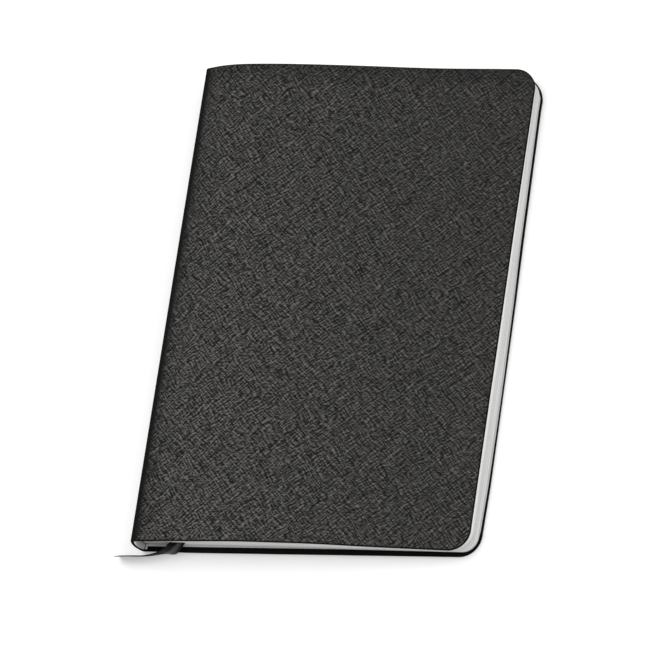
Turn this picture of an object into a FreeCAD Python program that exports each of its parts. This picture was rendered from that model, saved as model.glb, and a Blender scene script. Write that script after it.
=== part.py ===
"""A soft-covered faux leather notebook, closed and lying on its back cover.

Millimetres. X runs from the spine (-X) to the fore-edge (+X), Y from the tail (-Y)
to the head (+Y), and Z up from the surface that it lies on. The origin is under the
middle of the book. The back cover is flat. The front cover arches over pages that are
thick beside the spine and thin at the fore-edge: one arc climbs from the spine to the
crest, a second turns down from it, and a straight fall runs out to the fore-edge.
Every sheet above the pages is the same arch at another offset.
"""

import FreeCAD, Part

import math
import os

import Sketcher

SIZES = {
    "cover_width": 148.0,  # spine corner to fore-edge, each cover
    "cover_height": 210.0,  # tail to head
    "cover_thickness": 1.0,  # faux leather with its backing
    "cover_corner_radius": 9.0,  # in plan, at the fore-edge
    "spine_bulge": 1.4,  # how far the spine bows out past its two corners
    "fold_clearance": 0.05,  # between the spine leather and a cover
    "crest_distance": 20.0,  # crest of the arch from the spine corner
    "crest_height": 15.8,  # underside of the front cover at the crest
    "shoulder_radius": 56.0,  # arch between the spine and the crest
    "crest_radius": 400.0,  # arch past the crest
    "fall_angle": 5.15,  # straight fall to the fore-edge, in degrees
    "front_draw_back": 2.6,  # the arched front cover ends short of the back one
    "liner_thickness": 0.7,  # pale strip inside the spine leather
    "liner_margin": 0.9,  # spine leather past the liner at the two folds
    "liner_end_margin": 0.4,  # the same at head and tail
    "endpaper_thickness": 0.2,  # pastedowns and flyleaves
    "leaf_gap": 0.3,  # air between a pastedown and its flyleaf
    "end_overhang": 2.1,  # covers past the pages at head and tail
    "edge_overhang": 0.5,  # covers past the pages at the fore-edge
    "page_corner_radius": 8.5,  # in plan, at the fore-edge
    "hollow_at_top": 1.3,  # spine leather to pages, under the front cover
    "hollow_at_bottom": 1.5,  # spine leather to pages, over the back cover
    "block_spine_radius": 11.0,  # rounded spine edge of the pages
    "cloth_thickness": 0.3,  # cloth glued over that edge
    "cloth_margin": 8.0,  # pages bare of cloth at head and tail
    "trim_margin": 2.0,  # how far a trimming cut runs past the corner that it rounds
    "ribbon_width": 5.5,
    "ribbon_thickness": 0.3,
    "ribbon_height": 4.3,  # underside of the ribbon between the pages
    "ribbon_from_spine": 16.7,  # spine corner to the ribbon's middle
    "ribbon_lift": 0.2,  # air over the ribbon in its slot
    "ribbon_side_clearance": 0.3,
    "ribbon_tuck": 3.0,  # where the run between the pages starts and the free tail ends
}

# The free end of the ribbon: x and y from the middle of the slot's mouth at the tail,
# z above the surface, then the direction across its width, in x, y and z. It leaves flat,
# turns over the edge of the back cover and lies on its edge along the surface.
RIBBON_TAIL = [
    (0.0, 2.8, 4.50, 1.00, 0.00, 0.00),
    (0.0, -0.3, 4.50, 1.00, 0.00, 0.00),
    (-1.2, -1.7, 4.20, 0.95, -0.25, -0.15),
    (-3.4, -2.7, 3.30, 0.80, -0.15, -0.58),
    (-6.4, -3.3, 2.95, 0.50, 0.05, -0.86),
    (-11.0, -3.9, 2.85, 0.15, 0.28, -0.95),
    (-16.5, -4.4, 2.85, 0.00, 0.37, -0.93),
    (-22.0, -4.8, 2.85, 0.00, 0.37, -0.93),
    (-27.2, -5.1, 2.85, 0.00, 0.37, -0.93),
]


class Term:
    """A length worked out from the sheet: what it is now, and the expression for it."""

    def __init__(self, value, text):
        self.value = value
        self.text = text

    def __add__(self, other):
        other = as_term(other)
        return Term(self.value + other.value, f"({self.text} + {other.text})")

    def __sub__(self, other):
        other = as_term(other)
        return Term(self.value - other.value, f"({self.text} - {other.text})")

    def __mul__(self, other):
        other = as_term(other)
        return Term(self.value * other.value, f"({self.text} * {other.text})")

    def __truediv__(self, other):
        other = as_term(other)
        return Term(self.value / other.value, f"({self.text} / {other.text})")

    def __neg__(self):
        return Term(-self.value, f"(0 - {self.text})")


def as_term(number):
    return number if isinstance(number, Term) else Term(float(number), repr(float(number)))


def root(term):
    return Term(math.sqrt(term.value), f"sqrt({term.text})")


def sine(degrees):
    return Term(math.sin(math.radians(degrees.value)), f"sin({degrees.text})")


def cosine(degrees):
    return Term(math.cos(math.radians(degrees.value)), f"cos({degrees.text})")


doc = FreeCAD.newDocument("Notebook")
sheet = doc.addObject("Spreadsheet::Sheet", "Sizes")
for row, (alias, number) in enumerate(SIZES.items(), start=1):
    sheet.set(f"A{row}", alias.replace("_", " "))
    sheet.set(f"B{row}", str(number))
    sheet.setAlias(f"B{row}", alias)
doc.recompute()


def size(alias):
    return Term(float(sheet.get(alias)), f"<<Sizes>>.{alias}")


# Places that several pieces share, worked out from the sheet.
fore_edge_x = (size("cover_width") + size("spine_bulge")) / 2
spine_x = (size("spine_bulge") - size("cover_width")) / 2
crest_x = spine_x + size("crest_distance")
front_end_x = fore_edge_x - size("front_draw_back")
front_pages_x = front_end_x - size("edge_overhang")
back_pages_x = fore_edge_x - size("edge_overhang")
spine_inside_x = spine_x + size("cover_thickness")
pages_top_x = spine_inside_x + size("hollow_at_top")
pages_bottom_x = spine_inside_x + size("hollow_at_bottom")
lining_x = spine_inside_x + size("liner_thickness") + size("leaf_gap")
page_height = size("cover_height") - size("end_overhang") * 2
flyleaf_z = size("cover_thickness") + size("endpaper_thickness") + size("leaf_gap")
pages_z = flyleaf_z + size("endpaper_thickness")
pastedown_offset = -size("endpaper_thickness")
flyleaf_top_offset = pastedown_offset - size("leaf_gap")
pages_offset = flyleaf_top_offset - size("endpaper_thickness")
zero = as_term(0)


def shoulder_z(x, offset):
    """Height of the arch between the spine and the crest, at x and that offset."""
    radius = size("shoulder_radius") + offset
    reach = crest_x - x
    return size("crest_height") - size("shoulder_radius") + root(radius * radius - reach * reach)


def fall_z(x, offset):
    """Height of the arch on its straight fall, at x and that offset."""
    angle = size("fall_angle")
    radius = size("crest_radius") + offset
    turn_x = crest_x + radius * sine(angle)
    turn_z = size("crest_height") - size("crest_radius") + radius * cosine(angle)
    return turn_z - (x - turn_x) * sine(angle) / cosine(angle)


def new_body(label):
    body = doc.addObject("PartDesign::Body", label)
    body.Label = label
    return body


def new_sketch(body, role):
    """A sketch on one of the body's own origin planes."""
    plane = [f for f in body.Origin.OriginFeatures if f.Role == role][0]
    sketch = body.newObject("Sketcher::SketchObject", f"{body.Name}_{role}_sketch")
    sketch.AttachmentSupport = [(plane, "")]
    sketch.MapMode = "FlatFace"
    return sketch


def constrain(sketch, kind, *references, to=None):
    """Adds a constraint, bound to a Term where it has a size."""
    if to is None:
        sketch.addConstraint(Sketcher.Constraint(kind, *references))
        return
    index = sketch.addConstraint(Sketcher.Constraint(kind, *references, to.value))
    sketch.renameConstraint(index, f"{kind}_{index}")
    sketch.setExpression(f"Constraints.{kind}_{index}", to.text)


def place(sketch, geometry, point, x=None, z=None):
    """Fixes a point's distance from the origin, measured the way round that is positive."""
    for kind, term in (("DistanceX", x), ("DistanceY", z)):
        if term is None:
            continue
        if term.value < 0:
            constrain(sketch, kind, geometry, point, -1, 1, to=-term)
        else:
            constrain(sketch, kind, -1, 1, geometry, point, to=term)


def vector(x, z):
    return FreeCAD.Vector(x, z, 0)


def polar(centre, radius, degrees):
    angle = math.radians(degrees)
    return centre + vector(radius * math.cos(angle), radius * math.sin(angle))


def add_line(sketch, start, end):
    return sketch.addGeometry(Part.LineSegment(start, end))


def add_arc(sketch, centre, radius, start_degrees, end_degrees):
    circle = Part.Circle(centre, FreeCAD.Vector(0, 0, 1), radius)
    turn = (math.radians(start_degrees), math.radians(end_degrees))
    return sketch.addGeometry(Part.ArcOfCircle(circle, *turn))


def add_arch(sketch, offset, start_x, end_x):
    """The arch at an offset from the cover's underside: the indices of its arc from the
    spine (ends at point 2) and of its straight fall (starts at point 1)."""
    shoulder = size("shoulder_radius") + offset
    crest = size("crest_radius") + offset
    top_z = size("crest_height") + offset
    top = vector(crest_x.value, top_z.value)
    fall = size("fall_angle").value
    reach = crest_x.value - start_x.value
    lean = math.degrees(math.asin(reach / shoulder.value))
    climb = add_arc(sketch, top - vector(0, shoulder.value), shoulder.value, 90, 90 + lean)
    crest_centre = top - vector(0, crest.value)
    bend = add_arc(sketch, crest_centre, crest.value, 90 - fall, 90)
    turn = polar(crest_centre, crest.value, 90 - fall)
    run = end_x.value - turn.x
    end = turn + vector(run, -run * math.tan(math.radians(fall)))
    slope = add_line(sketch, end, turn)
    constrain(sketch, "Tangent", climb, 1, bend, 2)
    constrain(sketch, "Tangent", bend, 1, slope, 2)
    constrain(sketch, "Radius", climb, to=shoulder)
    constrain(sketch, "Radius", bend, to=crest)
    constrain(sketch, "Vertical", climb, 3, climb, 1)
    place(sketch, climb, 1, crest_x, top_z)
    place(sketch, climb, 2, x=start_x)
    place(sketch, slope, 1, x=end_x)
    index = sketch.addConstraint(Sketcher.Constraint("Angle", slope, math.radians(180 - fall)))
    sketch.renameConstraint(index, f"Angle_{index}")
    sketch.setExpression(f"Constraints.Angle_{index}", "180 - <<Sizes>>.fall_angle")
    return climb, slope


def point_of(sketch, geometry, end):
    return sketch.getPoint(geometry, end)


def join(sketch, first, first_end, second, second_end):
    """A line between two ends that are already placed."""
    line = add_line(
        sketch, point_of(sketch, first, first_end), point_of(sketch, second, second_end)
    )
    constrain(sketch, "Coincident", line, 1, first, first_end)
    constrain(sketch, "Coincident", line, 2, second, second_end)
    return line


def pad(body, sketch, length, symmetric=True):
    feature = body.newObject("PartDesign::Pad", f"{body.Name}_pad")
    feature.Profile = sketch
    feature.setExpression("Length", length.text)
    feature.SideType = "Symmetric" if symmetric else "One side"
    doc.recompute()
    return feature


def fillet(body, base, radius, chosen, name):
    """Rounds the edges of base that chosen(edge) picks."""
    edges = [f"Edge{i}" for i, edge in enumerate(base.Shape.Edges, start=1) if chosen(edge)]
    feature = body.newObject("PartDesign::Fillet", f"{body.Name}_{name}")
    feature.Base = (base, edges)
    feature.setExpression("Radius", radius.text)
    doc.recompute()
    return feature


def round_corners(body, end_x, length, radius, bottom=None, rake=None):
    """Cuts the two fore-edge corners to a radius in plan. The cut starts at the height
    bottom and leans back towards the spine by rake, a run in X and a rise in Z."""
    before = body.Shape.Volume
    sketch = new_sketch(body, "XY_Plane")
    if bottom is not None:
        sketch.setExpression("AttachmentOffset.Base.z", bottom.text)
    arc_x = end_x - radius
    arc_y = length / 2 - radius
    past_x = end_x + size("trim_margin")
    past_y = length / 2 + size("trim_margin")
    for side, turn in ((1, 0), (-1, 270)):
        centre = vector(arc_x.value, side * arc_y.value)
        arc = add_arc(sketch, centre, radius.value, turn, turn + 90)
        on_fore_edge, on_end = (1, 2) if side > 0 else (2, 1)
        signed_y = arc_y if side > 0 else -arc_y
        far_y = past_y if side > 0 else -past_y
        constrain(sketch, "Radius", arc, to=radius)
        place(sketch, arc, 3, arc_x, signed_y)
        place(sketch, arc, on_end, x=arc_x)
        place(sketch, arc, on_fore_edge, z=signed_y)
        corners = [
            vector(end_x.value, signed_y.value),
            vector(past_x.value, signed_y.value),
            vector(past_x.value, far_y.value),
            vector(arc_x.value, far_y.value),
            vector(arc_x.value, side * length.value / 2),
        ]
        sides = [add_line(sketch, corners[i], corners[i + 1]) for i in range(4)]
        constrain(sketch, "Coincident", sides[0], 1, arc, on_fore_edge)
        constrain(sketch, "Coincident", sides[3], 2, arc, on_end)
        for i in range(3):
            constrain(sketch, "Coincident", sides[i], 2, sides[i + 1], 1)
        constrain(sketch, "Horizontal", sides[0])
        constrain(sketch, "Vertical", sides[3])
        place(sketch, sides[1], 1, x=past_x)
        place(sketch, sides[1], 2, past_x, far_y)
        place(sketch, sides[2], 2, z=far_y)
    cut = body.newObject("PartDesign::Pocket", f"{body.Name}_corners")
    cut.Profile = sketch
    cut.Type = "ThroughAll"
    cut.SideType = "Symmetric"
    if rake is not None:
        run, rise = rake
        cut.UseCustomVector = True
        cut.AlongSketchNormal = False
        cut.Direction = FreeCAD.Vector(-run.value, 0, rise.value)
        cut.setExpression("Direction.x", (-run).text)
        cut.setExpression("Direction.z", rise.text)
    doc.recompute()
    if body.Shape.Volume >= before:
        raise RuntimeError(f"the corners of {body.Label} were not cut")
    return cut


def along_the_fold(edge):
    """An edge of a cover that runs head to tail at its spine end."""
    box = edge.BoundBox
    return box.XMax < spine_x.value + 0.01 and box.YLength > size("cover_height").value / 2


def arched_sheet(label, bottom, top, start_x, end_x, length, corner):
    """A sheet that follows the arch, from one offset to another, with rounded corners."""
    body = new_body(label)
    sketch = new_sketch(body, "XZ_Plane")
    lower_climb, lower_slope = add_arch(sketch, bottom, start_x, end_x)
    upper_climb, upper_slope = add_arch(sketch, top, start_x, end_x)
    join(sketch, lower_climb, 2, upper_climb, 2)
    join(sketch, lower_slope, 1, upper_slope, 1)
    pad(body, sketch, length)
    round_corners(body, end_x, length, corner)
    return body


def flat_sheet(label, bottom, thickness, start_x, end_x, length, corner):
    """A flat sheet with rounded corners at the fore-edge."""
    body = new_body(label)
    sketch = new_sketch(body, "XZ_Plane")
    top = bottom + thickness
    corners = [(start_x, bottom), (end_x, bottom), (end_x, top), (start_x, top)]
    add_polygon(sketch, corners)
    pad(body, sketch, length)
    round_corners(body, end_x, length, corner)
    return body


def add_polygon(sketch, corners):
    """Closed straight sides through corners given as pairs of Terms."""
    points = [vector(x.value, z.value) for x, z in corners]
    sides = [add_line(sketch, points[i - 1], points[i]) for i in range(len(points))]
    for i, (x, z) in enumerate(corners):
        constrain(sketch, "Coincident", sides[i], 2, sides[(i + 1) % len(sides)], 1)
        place(sketch, sides[i], 2, x, z)
    return sides


def round_the_fold(body):
    """Rounds the end of a cover that turns at the spine."""
    radius = size("cover_thickness") / 2 - size("fold_clearance")
    fillet(body, body.Tip, radius, along_the_fold, "fold")


def make_front_cover():
    cover = arched_sheet(
        "front_cover",
        zero,
        size("cover_thickness"),
        spine_x,
        front_end_x,
        size("cover_height"),
        size("cover_corner_radius"),
    )
    round_the_fold(cover)
    return cover


def make_back_cover():
    cover = flat_sheet(
        "back_cover",
        zero,
        size("cover_thickness"),
        spine_x,
        fore_edge_x,
        size("cover_height"),
        size("cover_corner_radius"),
    )
    round_the_fold(cover)
    return cover


def make_pastedowns():
    front = arched_sheet(
        "front_pastedown",
        pastedown_offset,
        zero,
        lining_x,
        front_pages_x,
        page_height,
        size("page_corner_radius"),
    )
    back = flat_sheet(
        "back_pastedown",
        size("cover_thickness"),
        size("endpaper_thickness"),
        lining_x,
        back_pages_x,
        page_height,
        size("page_corner_radius"),
    )
    return [front, back]


def make_flyleaves():
    front = arched_sheet(
        "front_flyleaf",
        pages_offset,
        flyleaf_top_offset,
        pages_top_x,
        front_pages_x,
        page_height,
        size("page_corner_radius"),
    )
    back = flat_sheet(
        "back_flyleaf",
        flyleaf_z,
        size("endpaper_thickness"),
        pages_bottom_x,
        back_pages_x,
        page_height,
        size("page_corner_radius"),
    )
    return [front, back]


spine_bottom_z = size("cover_thickness") + size("fold_clearance")
spine_top_z = shoulder_z(spine_x, zero) - size("fold_clearance")
half_spine = (spine_top_z - spine_bottom_z) / 2
spine_radius = (half_spine * half_spine + size("spine_bulge") * size("spine_bulge")) / (
    size("spine_bulge") * 2
)
spine_centre_x = spine_x - size("spine_bulge") + spine_radius
spine_centre_z = (spine_top_z + spine_bottom_z) / 2


def bowed_strip(label, depth, thickness, margin, length):
    """A strip that follows the bowed spine, depth under its outer face."""
    body = new_body(label)
    sketch = new_sketch(body, "XZ_Plane")
    low = spine_bottom_z + margin
    high = spine_top_z - margin
    centre = vector(spine_centre_x.value, spine_centre_z.value)
    arcs = []
    for radius in (spine_radius - depth, spine_radius - depth - thickness):
        lean = math.degrees(math.asin((high - low).value / 2 / radius.value))
        arc = add_arc(sketch, centre, radius.value, 180 - lean, 180 + lean)
        constrain(sketch, "Radius", arc, to=radius)
        place(sketch, arc, 3, spine_centre_x, spine_centre_z)
        place(sketch, arc, 1, z=high)
        place(sketch, arc, 2, z=low)
        arcs.append(arc)
    join(sketch, arcs[0], 1, arcs[1], 1)
    join(sketch, arcs[0], 2, arcs[1], 2)
    pad(body, sketch, length)
    return body


def make_spine():
    leather = bowed_strip(
        "spine_cover", zero, size("cover_thickness"), zero, size("cover_height")
    )
    liner = bowed_strip(
        "spine_liner",
        size("cover_thickness"),
        size("liner_thickness"),
        size("liner_margin"),
        size("cover_height") - size("liner_end_margin") * 2,
    )
    return [leather, liner]


pages_top_z = shoulder_z(pages_top_x, pages_offset)
fore_edge_top_z = fall_z(front_pages_x, pages_offset)


def spine_edge_arc():
    """Centre and lean of the pages' rounded spine edge, from its two ends."""
    top = vector(pages_top_x.value, pages_top_z.value)
    bottom = vector(pages_bottom_x.value, pages_z.value)
    radius = size("block_spine_radius").value
    chord = top - bottom
    inward = vector(chord.y, -chord.x)
    inward.normalize()
    depth = math.sqrt(radius**2 - (chord.Length / 2) ** 2)
    centre = (top + bottom) * 0.5 + inward * depth
    start = math.degrees(math.atan2(top.y - centre.y, top.x - centre.x)) % 360
    end = math.degrees(math.atan2(bottom.y - centre.y, bottom.x - centre.x)) % 360
    return centre, start, end


def make_page_block():
    """The pages: flat below, arched above, rounded at the spine, and raked at the
    fore-edge where the upper pages are drawn back."""
    body = new_body("page_block_solid")
    sketch = new_sketch(body, "XZ_Plane")
    climb, slope = add_arch(sketch, pages_offset, pages_top_x, front_pages_x)
    centre, start, end = spine_edge_arc()
    spine_edge = add_arc(sketch, centre, size("block_spine_radius").value, start, end)
    constrain(sketch, "Coincident", spine_edge, 1, climb, 2)
    place(sketch, spine_edge, 2, pages_bottom_x, pages_z)
    constrain(sketch, "Radius", spine_edge, to=size("block_spine_radius"))
    low_left = vector(pages_bottom_x.value, pages_z.value)
    low_right = vector(back_pages_x.value, pages_z.value)
    bottom = add_line(sketch, low_left, low_right)
    constrain(sketch, "Coincident", bottom, 1, spine_edge, 2)
    place(sketch, bottom, 2, back_pages_x, pages_z)
    join(sketch, bottom, 2, slope, 1)
    pad(body, sketch, page_height)
    rake = (back_pages_x - front_pages_x, fore_edge_top_z - pages_z)
    round_corners(body, back_pages_x, page_height, size("page_corner_radius"), pages_z, rake)
    slot = make_ribbon_bar(
        "ribbon_slot",
        size("ribbon_width") + size("ribbon_side_clearance") * 2,
        size("ribbon_thickness") + size("ribbon_lift"),
        -size("ribbon_width"),
        -size("ribbon_width"),
    )
    pages = doc.addObject("Part::Cut", "page_block")
    pages.Label = "page_block"
    pages.Base = body
    pages.Tool = slot
    doc.recompute()
    return pages


def make_ribbon_bar(label, width, thickness, tail_short, head_short):
    """A flat bar along the ribbon's run between the pages. It stops short of the pages'
    ends by tail_short and head_short, and runs past them where those are negative."""
    bar = doc.addObject("Part::Box", label)
    bar.Label = label
    middle = spine_x + size("ribbon_from_spine")
    bar.setExpression("Length", width.text)
    bar.setExpression("Width", (page_height - tail_short - head_short).text)
    bar.setExpression("Height", thickness.text)
    bar.setExpression(".Placement.Base.x", (middle - width / 2).text)
    bar.setExpression(".Placement.Base.y", (tail_short - page_height / 2).text)
    bar.setExpression(".Placement.Base.z", size("ribbon_height").text)
    doc.recompute()
    return bar


def make_spine_cloth():
    """Cloth over the pages' spine edge, on the same arc."""
    body = new_body("spine_cloth")
    sketch = new_sketch(body, "XZ_Plane")
    centre, start, end = spine_edge_arc()
    inner_radius = size("block_spine_radius")
    outer_radius = inner_radius + size("cloth_thickness")
    inner = add_arc(sketch, centre, inner_radius.value, start, end)
    constrain(sketch, "Radius", inner, to=inner_radius)
    place(sketch, inner, 1, pages_top_x, pages_top_z)
    place(sketch, inner, 2, pages_bottom_x, pages_z)
    outer = add_arc(sketch, centre, outer_radius.value, start, end)
    constrain(sketch, "Radius", outer, to=outer_radius)
    constrain(sketch, "Coincident", outer, 3, inner, 3)
    for end_point in (1, 2):
        edge = join(sketch, inner, end_point, outer, end_point)
        constrain(sketch, "Perpendicular", edge, inner)
    pad(body, sketch, page_height - size("cloth_margin") * 2)
    return body


def make_ribbon_marker():
    end_gap = size("ribbon_side_clearance")
    return make_ribbon_bar(
        "ribbon_marker",
        size("ribbon_width"),
        size("ribbon_thickness"),
        size("ribbon_tuck"),
        end_gap,
    )


def ribbon_section(route, i, width, thickness):
    """The ribbon's cross-section at one point of its route."""
    point = FreeCAD.Vector(*route[i][:3])
    before = FreeCAD.Vector(*route[max(i - 1, 0)][:3])
    after = FreeCAD.Vector(*route[min(i + 1, len(route) - 1)][:3])
    along = after - before
    along.normalize()
    across = FreeCAD.Vector(*route[i][3:])
    across = across - along * across.dot(along)
    across.normalize()
    face = along.cross(across)
    corners = []
    for a, b in ((-1, -1), (1, -1), (1, 1), (-1, 1)):
        corners.append(point + across * (a * width / 2) + face * (b * thickness / 2))
    return Part.makePolygon(corners + corners[:1])


def make_ribbon_tail():
    """The free end of the ribbon, straight between the points of its route."""
    mouth_x = (spine_x + size("ribbon_from_spine")).value
    mouth_y = -page_height.value / 2
    width = size("ribbon_width").value
    thickness = size("ribbon_thickness").value
    route = [(mouth_x + p[0], mouth_y + p[1], *p[2:]) for p in RIBBON_TAIL]
    sections = [ribbon_section(route, i, width, thickness) for i in range(len(route))]
    tail = doc.addObject("Part::Feature", "ribbon_tail")
    tail.Label = "ribbon_tail"
    tail.Shape = Part.makeLoft(sections, True, True)
    tail.Placement = FreeCAD.Placement()
    return tail


def check_document():
    doc.recompute()
    for item in doc.Objects:
        bad = {"Invalid", "Error"} & set(item.State)
        if bad:
            raise RuntimeError(f"{item.Label} is {sorted(bad)}")


def export(parts):
    os.makedirs("parts", exist_ok=True)
    for part in parts:
        shape = part.Shape
        if shape.isNull() or not shape.isValid() or not shape.Solids:
            raise RuntimeError(f"{part.Label} has no valid solid")
        shape.exportStep(f"parts/{part.Label}.step")
        box = shape.BoundBox
        print(
            f"{part.Label}: {len(shape.Solids)} solid, {shape.Volume:.1f} mm3, "
            f"x {box.XMin:.2f} {box.XMax:.2f}, y {box.YMin:.2f} {box.YMax:.2f}, "
            f"z {box.ZMin:.2f} {box.ZMax:.2f}"
        )


parts = [make_front_cover(), make_back_cover()]
parts += make_spine()
parts += make_pastedowns()
parts += make_flyleaves()
parts += [make_page_block(), make_spine_cloth(), make_ribbon_marker(), make_ribbon_tail()]
check_document()
export(parts)
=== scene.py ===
"""The faux leather notebook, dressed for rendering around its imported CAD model.

Metres, in the model's own frame: X from the spine to the fore-edge, Y from the tail to
the head, Z up. One sheet of leather is wrapped from the front fore-edge over the front
cover, round the spine and under the back cover. It is built on that path in developed
coordinates, so that its embossing runs on round the folds.
"""

import math

import bpy
import numpy as np
from mathutils import Matrix, Vector


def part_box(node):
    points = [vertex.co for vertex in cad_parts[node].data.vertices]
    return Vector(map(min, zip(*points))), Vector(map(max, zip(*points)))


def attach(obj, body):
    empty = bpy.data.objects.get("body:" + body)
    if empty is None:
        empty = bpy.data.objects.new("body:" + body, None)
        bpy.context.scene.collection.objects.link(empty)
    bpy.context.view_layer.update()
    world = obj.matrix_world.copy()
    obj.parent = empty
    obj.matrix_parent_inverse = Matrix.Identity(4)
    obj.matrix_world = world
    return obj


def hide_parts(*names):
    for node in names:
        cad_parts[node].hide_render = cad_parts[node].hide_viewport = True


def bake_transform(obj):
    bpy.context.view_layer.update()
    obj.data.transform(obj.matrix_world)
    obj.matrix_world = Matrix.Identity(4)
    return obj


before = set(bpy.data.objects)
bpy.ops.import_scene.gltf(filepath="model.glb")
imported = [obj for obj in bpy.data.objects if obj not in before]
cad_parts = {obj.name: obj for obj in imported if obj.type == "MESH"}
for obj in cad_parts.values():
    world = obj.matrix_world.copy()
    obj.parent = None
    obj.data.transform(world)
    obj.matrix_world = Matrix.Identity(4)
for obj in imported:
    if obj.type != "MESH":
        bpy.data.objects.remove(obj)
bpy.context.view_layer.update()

MM = 0.001

# Sizes that the CAD source gives by name, and that the frame's boxes don't show.
CREST_FROM_SPINE = 20 * MM
SHOULDER_RADIUS = 56 * MM
CREST_RADIUS = 400 * MM
FALL = math.radians(5.15)
CORNER_RADIUS = 9 * MM
PAGE_CORNER_RADIUS = 8.5 * MM
BLOCK_SPINE_RADIUS = 11 * MM
HOLLOW_AT_TOP = 1.3 * MM
HOLLOW_AT_BOTTOM = 1.5 * MM
PAPER = 0.2 * MM
LEAF_GAP = 0.3 * MM

front_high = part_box("front_cover")[1]
back_low, back_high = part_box("back_cover")
pages_low, pages_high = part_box("page_block")

THICKNESS = back_high.z - back_low.z
HALF_HEIGHT = back_high.y
LINER_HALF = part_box("spine_liner")[1].y
SPINE_X = back_low.x
CREST_X = SPINE_X + CREST_FROM_SPINE
CREST_Z = front_high.z

# The leather's fold at each edge of the spine, and how far the spine bows out between.
FOLD_RADIUS = 2.0 * MM
SPINE_BULGE = 1.4 * MM

# The real front cover over its even arch, at its head and at its tail: the height, the
# middle and the width in millimetres of each swelling along X.
HEAD_SWELLINGS = ((0.65, -50, 16), (-1.2, 28, 19))
TAIL_SWELLINGS = ((0.7, 8, 11), (-2.3, -53, 17))

# How far the fore-edges lie out of line, in millimetres: the back cover is turned, bowed,
# waisted and drawn in at its corners, the lowest leaves are drawn in further towards
# their ends, and the front cover stands proud at its middle and towards its head.
BACK_TURN = 0.62
BACK_BOW = 0.25
BACK_WAIST = 0.25
BACK_HEAD_CORNER = 3.1
BACK_TAIL_CORNER = 0.55
LEAF_ENDS = 0.33
FRONT_MIDDLE = 0.12
FRONT_HEAD = 0.30

# How far the back cover has slipped towards the tail.
BACK_SLIP = 0.3 * MM

# Spacing of the section's points round its arcs, and their number along each cover.
ARC_STEP = 0.08 * MM
RUN_POINTS = 1800


# ---------------------------------------------------------------- form of the covers


def smooth(share):
    """Eases a share, held between 0 and 1, so that it starts and ends level."""
    share = np.clip(share, 0, 1)
    return share**2 * (3 - 2 * share)


def share_across(x, edge):
    """How far across the book x lies: 0 at the spine, 1 at that fore-edge."""
    return np.clip((x - SPINE_X) / (edge - SPINE_X), 0, 1)


def arch_z(x, drop):
    """Height of the front cover's arch at x, drop below its outer surface."""
    x = np.asarray(x, float)
    shoulder = SHOULDER_RADIUS + THICKNESS - drop
    crest = CREST_RADIUS + THICKNESS - drop
    top = CREST_Z - drop
    climb = top - shoulder + np.sqrt(shoulder**2 - np.minimum(x - CREST_X, 0) ** 2)
    turn_x = CREST_X + crest * math.sin(FALL)
    turn_z = top - crest + crest * math.cos(FALL)
    bend_x = np.clip(x, CREST_X, turn_x) - CREST_X
    bend = top - crest + np.sqrt(crest**2 - bend_x**2)
    fall = turn_z - (x - turn_x) * math.tan(FALL)
    return np.where(x < CREST_X, climb, np.where(x < turn_x, bend, fall))


def swell(x, swellings):
    """Sum at x, in millimetres, of swellings given as in the two lists above."""
    return sum(
        height * np.exp(-0.5 * ((x - middle * MM) / (width * MM)) ** 2)
        for height, middle, width in swellings
    )


def relax(x, y):
    """How far the real cover stands off its even arch: the crest is flatter at the tail
    and rounder at the head, and nothing changes at the spine or at the fore-edge."""
    x, y = np.asarray(x, float), np.asarray(y, float)
    share = 0.5 + 0.5 * y / HALF_HEIGHT
    swelling = swell(x, HEAD_SWELLINGS) * share + swell(x, TAIL_SWELLINGS) * (1 - share)
    return MM * smooth((x - SPINE_X) / (9 * MM)) * swelling


def askew(x, y):
    """How far the back cover's fore-edge lies off square: in at the head and out at the
    tail, with its corners drawn in, most at the head."""
    x, y = np.asarray(x, float), np.asarray(y, float)
    share = share_across(x, back_high.x)
    lean = BACK_BOW * (1 - (y / HALF_HEIGHT) ** 2) - BACK_TURN * y / HALF_HEIGHT
    waist = np.interp(y, [5 * MM, 30 * MM, 90 * MM, 94 * MM], [0, 1, 1, 0])
    lean -= BACK_WAIST * waist
    corners = BACK_HEAD_CORNER * np.clip((y - 93.5 * MM) / (11.5 * MM), 0, 1) ** 1.15
    corners += BACK_TAIL_CORNER * np.clip((-y - 75 * MM) / (22 * MM), 0, 1)
    return MM * (share**2 * lean - share**6 * corners)


def leaf_askew(x, y):
    """The same for the lowest leaves, which are drawn in further towards both ends."""
    ends = np.clip((np.abs(y + 35 * MM) - 10 * MM) / (50 * MM), 0, 1)
    return askew(x, y) - LEAF_ENDS * MM * share_across(x, back_high.x) ** 2 * ends


def proud(x, y):
    """How far the front cover's fore-edge stands out of line, most near the head."""
    out = FRONT_MIDDLE * np.clip((y + 40 * MM) / (30 * MM), 0, 1)
    out += FRONT_HEAD * np.clip((y - 35 * MM) / (50 * MM), 0, 1)
    return MM * share_across(x, front_high.x) ** 2 * out


def slip(x):
    """How far the back cover has slipped towards the tail, away from the spine."""
    return BACK_SLIP * smooth((x - SPINE_X - 4 * MM) / (20 * MM))


def sheet_z(x, y, drop):
    """Height at a place in plan, drop below the front cover's outer surface."""
    return arch_z(x, drop) + relax(x, y)


# ---------------------------------------------------------------- the wrapped section


def unit_rows(vectors):
    """The same vectors, each of unit length."""
    return vectors / np.linalg.norm(vectors, axis=1)[:, None]


def running_length(points):
    """How far along a line of points each of them lies."""
    steps = np.linalg.norm(np.diff(points, axis=0), axis=1)
    return np.concatenate([[0], np.cumsum(steps)])


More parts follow.
